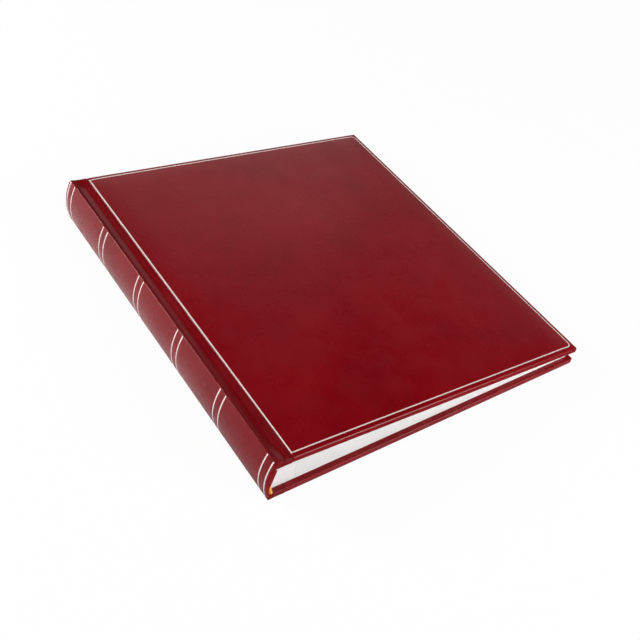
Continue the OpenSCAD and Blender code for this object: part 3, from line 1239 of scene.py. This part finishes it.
class GroovedJoint(CoverSide):
    """Covering of one joint between the spine and a cover."""

    ALONG = 60
    LINING = 0.5
    TAIL_FADE = 14
    HEAD_FADE = 7
    GROOVE = ((-0.035, 0.147), (-0.02, 0.15), (0.01, 0.181), (0.05, 0.36), (0.1, 0.63), (0.16, 0.89),
              (0.22, 1.03), (0.28, 1.09), (0.34, 1.12), (0.4, 1.145), (0.47, 1.165), (0.54, 1.175),
              (0.6, 1.167), (0.65, 1.115), (0.7, 1), (0.76, 0.817), (0.82, 0.633), (0.88, 0.463),
              (0.94, 0.308), (1, 0.192))
    TAIL = ((0, 0.1), (0.1, 0.35), (0.2, 0.25), (0.31, 0.15), (0.4, 0.6), (0.48, 1.8), (0.55, 3.2),
            (0.6, 3.7), (0.66, 3.2), (0.74, 2.0), (0.85, 1.0), (1, 0.5))

    def tail_depth(self, across: float) -> float:
        """Depth of the pinched leather at the tail end of the front joint."""
        for (a, da), (b, db) in zip(self.TAIL, self.TAIL[1:]):
            if across <= b:
                return da + (db - da) * max(0.0, (across - a) / (b - a))
        return self.TAIL[-1][1]

    def covering(self) -> bpy.types.Object:
        """Builds the grooved covering, whose ends turn in at the depth of a cover."""
        s = self.sizes
        top = s.front_z + s.cover_t if self.front else 0.0
        up = 1 if self.front else -1
        x0 = s.shoulder_x + s.skin_t + s.glue_gap
        w = s.joint_w - s.skin_t - 2 * s.glue_gap
        base = (s.cover_t if self.front else s.back_z) - s.glue_gap
        thin, fold = self.LINING, 0.5 if self.front else 1.0
        out = s.edge_r - 0.2 if self.front else s.back_edge_r - 0.5
        quarter = [math.pi / 2 * k / 5 for k in range(6)]
        end = [(s.half_h - out + out * math.sin(t), 1.0, out - out * math.cos(t)) for t in quarter]
        end += [(s.half_h, 0.33, 2.8)]
        end += [(s.half_h - fold + fold * math.cos(t), 0.0, base - fold + fold * math.sin(t))
                for t in quarter]
        end += [(s.half_h - s.turn_in / 2, 0.0, base), (s.half_h - s.turn_in, 0.0, base),
                (s.half_h - s.turn_in, 0.0, base - thin), (s.half_h - thin, 0.0, base - thin),
                (s.half_h - thin, 1.0, thin)]
        outer = [((s.half_h - out) * (2 * n / self.ALONG - 1), 1.0, 0.0) for n in range(1, self.ALONG)]
        inner = [(-y * 0.995, 1.0, thin) for y, _, _ in outer]
        loop = outer + end + inner + [(-y, share, under) for y, share, under in reversed(end)]
        draft = MeshDraft()
        rings = []
        for across, depth in self.GROOVE:
            ring = []
            for y, share, under in loop:
                sag = 0.08 * noise.noise(Vector((across * 2, y * 0.03, 5.0 + up)))
                near = 1 - smoothstep((s.half_h - abs(y)) / (self.TAIL_FADE if y < 0 else self.HEAD_FADE))
                groove = s.groove_d * depth
                faded = 0.3 * self.tail_depth(across) if self.front and y < 0 else 0.12 * groove
                groove += (faded - groove) * near
                level = share * (groove + sag * smoothstep(depth)) + under
                level -= s.shoulder_rise * (1 - across) * (1 - under / base) if self.front else 0
                ring.append((x0 + w * across, y, top - up * level))
            rings.append(draft.add(ring))
        draft.tube(rings)
        return harden(draft.build(f"{self.prefix}_joint_covering", self.finishes.groove), 60)

    def cloth(self) -> bpy.types.Object:
        """Builds the cloth inside the joint as a thin sheet with its own coordinates."""
        s = self.sizes
        low, high = (tuple(c / MM for c in corner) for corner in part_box(f"{self.prefix}_inner_joint"))
        draft = MeshDraft()
        ys = [low[1] + (high[1] - low[1]) * n / 24 for n in range(25)]
        layers = []
        for z in (low[2] + 0.01, high[2] - 0.01):
            rows = []
            for k in range(13):
                x = low[0] + (high[0] - low[0]) * k / 12
                rows.append(draft.add((x, y, z) for y in ys))
                draft.uv.extend((x * MM, y * MM) for y in ys)
            layers.append(rows)
        draft.slab(*layers)
        return harden(draft.build(f"{self.prefix}_joint_cloth", self.finishes.cloth), 40)

    def build(self) -> None:
        """Builds the joint's pieces between the block and the cover in place of their solids."""
        for piece, node, slot in ((self.covering(), f"{self.prefix}_joint_skin", Slot.LEATHERETTE),
                                  (self.cloth(), f"{self.prefix}_inner_joint", Slot.CLOTH)):
            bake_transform(piece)
            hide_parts(node)
            report(piece)


# ---------------------------------------------------------------- leaves


@dataclass(frozen=True)
class Sheet:
    """A leaf, interleaf or fly-leaf, laid along its solid."""

    node: str
    finish: bpy.types.Material
    slot: Slot

    LENGTH: ClassVar[float] = 261.2
    HEIGHT: ClassVar[float] = 301.0
    ROOT: ClassVar[float] = 58.0

    def edges(self) -> tuple[Vector, Vector, float]:
        """Lower edge of the sheet at its guard and at its fore-edge, and its thickness, from its solid."""
        points = [p.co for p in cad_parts[self.node].data.vertices]
        ends = []
        for pick in (min, max):
            x = pick(p.x for p in points)
            near = [p for p in points if abs(p.x - x) < 0.002]
            ends.append(Vector((x, 0, min(p.z for p in near))))
            thick = max(p.z for p in near) - min(p.z for p in near)
        return ends[0], ends[1], thick

    def build(self) -> None:
        """Builds the sheet as a straight slab along its solid, in place of the solid."""
        root, fore, thick = self.edges()
        half = self.HEIGHT / 2
        draft = MeshDraft()
        length = (fore - root).length / MM
        stops = [k * self.ROOT / 22 for k in range(22)]
        stops += [self.ROOT + (length - self.ROOT) * k / 12 for k in range(13)]
        rise = (fore - root).normalized()
        ys = [-half + 2 * half * n / 10 for n in range(11)]
        layers = []
        for level in (0.0, thick / MM):
            rows = []
            for stop in stops:
                spot = root / MM + rise * stop
                rows.append(draft.add((spot.x, y, spot.z + level) for y in ys))
                draft.uv.extend((stop * MM, (y + half) * MM) for y in ys)
            layers.append(rows)
        draft.slab(*layers)
        piece = harden(draft.build(f"{self.node}_sheet", self.finish), 40)
        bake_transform(piece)
        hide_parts(self.node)
        report(piece)


@dataclass(frozen=True)
class LeafBlock:
    """All sheets of the album between its covers."""

    finishes: FinishBook
    sizes: AlbumSizes = SIZES

    def build(self) -> None:
        """Builds every sheet."""
        f = self.finishes
        for node in ("back_flyleaf", "front_flyleaf"):
            Sheet(node, f.lining, Slot.LINING).build()
        for k in range(1, self.sizes.leaf_count + 1):
            Sheet(f"leaf_{k:02d}", f.page, Slot.CARD).build()
            Sheet(f"interleaf_{k:02d}", f.glassine, Slot.GLASSINE).build()


# ---------------------------------------------------------------- studio


@dataclass(frozen=True)
class Lamp:
    """A soft square lamp that points at the album: its place and side in metres and its watts."""

    name: str
    place: Point
    size: float
    power: float

    def hang(self) -> None:
        """Hangs the lamp."""
        data = bpy.data.lights.new(self.name, "AREA")
        data.size, data.energy = self.size, self.power
        lamp = add_object(self.name, data)
        lamp.location = self.place
        lamp.rotation_euler = (-Vector(self.place)).to_track_quat("-Z", "Y").to_euler()


@dataclass(frozen=True)
class Studio:
    """Floor with painted shade in its reflections, soft lights and the camera."""

    lamps: tuple[Lamp, ...] = (
        Lamp("back_softbox", (0.7, 1.59, 0.47), 1.5, 5.4),
        Lamp("side_softbox", (1.69, 0.55, 0.26), 1.45, 3.2),
        Lamp("left_softbox", (-1.1, 0.95, 0.62), 0.55, 21),
        Lamp("top_softbox", (-0.2, 0.15, 1.9), 0.8, 5),
        Lamp("edge_softbox", (0.75, -1.15, 0.58), 0.5, 10),
        Lamp("front_softbox", (-0.3, -2.2, 1.3), 3, 57),
    )
    floor_reach: float = 4.0
    floor_drop: float = 0.0002
    white_share: float = 0.95
    room_light: float = 0.012
    lens: float = 53.12
    eye: Point = (-0.3886, -0.4185, 0.5110)
    forward: Point = (0.5021, 0.5233, -0.6885)
    right: Point = (0.8154, -0.5517, 0.1753)

    def floor(self) -> None:
        """Lays a pale floor that shows white and keeps the album's shadow; glossy rays see it painted dark in
        front of the album's tail, a painted shade in the album's reflections.
        """
        mesh = bpy.data.meshes.new("floor")
        reach, z = self.floor_reach, -self.floor_drop
        mesh.from_pydata([(x * reach, y * reach, z) for x, y in ((-1, -1), (1, -1), (1, 1), (-1, 1))],
                         [], [(0, 1, 2, 3)])
        floor = add_object("floor", mesh)
        f = Finish("pale_floor")
        path = f.node("ShaderNodeLightPath")
        along = f.node("ShaderNodeSeparateXYZ")
        f.link(f.place(), along.inputs[0])
        # Painted reflection: glossy rays see the floor dark in front of the tail and pale further back, so
        # the spine and the tail walls reflect a painted shade.
        painted_floor_reflection = f.ramp(f.range(along.outputs[1], -0.17, -0.03, 0, 1),
                      [(0, (0.06, 0.06, 0.06, 1)), (0.12, (0.5, 0.5, 0.52, 1)), (1, (0.95, 0.95, 0.97, 1))])
        shade = f.mix(path.outputs["Is Glossy Ray"], (0.86, 0.86, 0.86, 1), painted_floor_reflection)
        f.base(Base_Color=shade, Roughness=0.9, Specular_IOR_Level=0.1)
        plain = f.node("ShaderNodeEmission")
        mix = f.node("ShaderNodeMixShader")
        f.put(mix, {"0": f.math("MULTIPLY", path.outputs["Is Camera Ray"], self.white_share),
                    "1": f.shader.outputs[0],
                    "2": plain.outputs[0]})
        f.link(mix.outputs[0], f.out.inputs["Surface"])
        mesh.materials.append(f.material)

    def world(self) -> None:
        """Lights the room evenly and shows white behind the album."""
        world = bpy.data.worlds.new("room")
        world.use_nodes = True
        bpy.context.scene.world = world
        room = NodeTree()
        room.tree = world.node_tree
        room.tree.nodes.clear()
        out = room.node("ShaderNodeOutputWorld")
        path = room.node("ShaderNodeLightPath")
        seen = room.node("ShaderNodeBackground")
        light = room.node("ShaderNodeBackground")
        mix = room.node("ShaderNodeMixShader")
        room.put(seen, {"Color": (1, 1, 1, 1), "Strength": 1})
        room.put(light, {"Color": (1, 1, 1, 1), "Strength": self.room_light})
        room.put(mix, {"0": path.outputs["Is Camera Ray"], "1": light.outputs[0], "2": seen.outputs[0]})
        room.link(mix.outputs[0], out.inputs["Surface"])

    def camera(self) -> None:
        """Places the camera over the tail end, on the spine side."""
        data = bpy.data.cameras.new("camera")
        data.lens, data.sensor_width = self.lens, 36
        data.clip_start, data.clip_end = 0.01, 20
        camera = add_object("camera", data)
        forward = Vector(self.forward).normalized()
        right = Vector(self.right)
        right = (right - forward * right.dot(forward)).normalized()
        up = right.cross(forward)
        turn = Matrix((right, up, -forward)).transposed().to_4x4()
        camera.matrix_world = Matrix.Translation(self.eye) @ turn
        bpy.context.scene.camera = camera

    def build(self) -> None:
        """Sets up the whole studio."""
        self.floor()
        self.world()
        for lamp in self.lamps:
            lamp.hang()
        self.camera()


def main() -> None:
    """Builds the album on its frame, dresses it and lights it."""
    logging.basicConfig(level=logging.INFO, format="%(message)s")
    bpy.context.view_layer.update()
    bpy.context.scene.view_settings.view_transform = "Standard"
    finishes = FinishBook()
    for side in (Body.BACK, Body.FRONT):
        PaddedCover(side, finishes).build()
        GroovedJoint(side, finishes).build()
    RoundedSpine(finishes).build()
    for name, end in (("headband", 1), ("tailband", -1)):
        EndBand(name, end, finishes).build()
    LeafBlock(finishes).build()
    Studio().build()


if __name__ == "__main__":
    main()
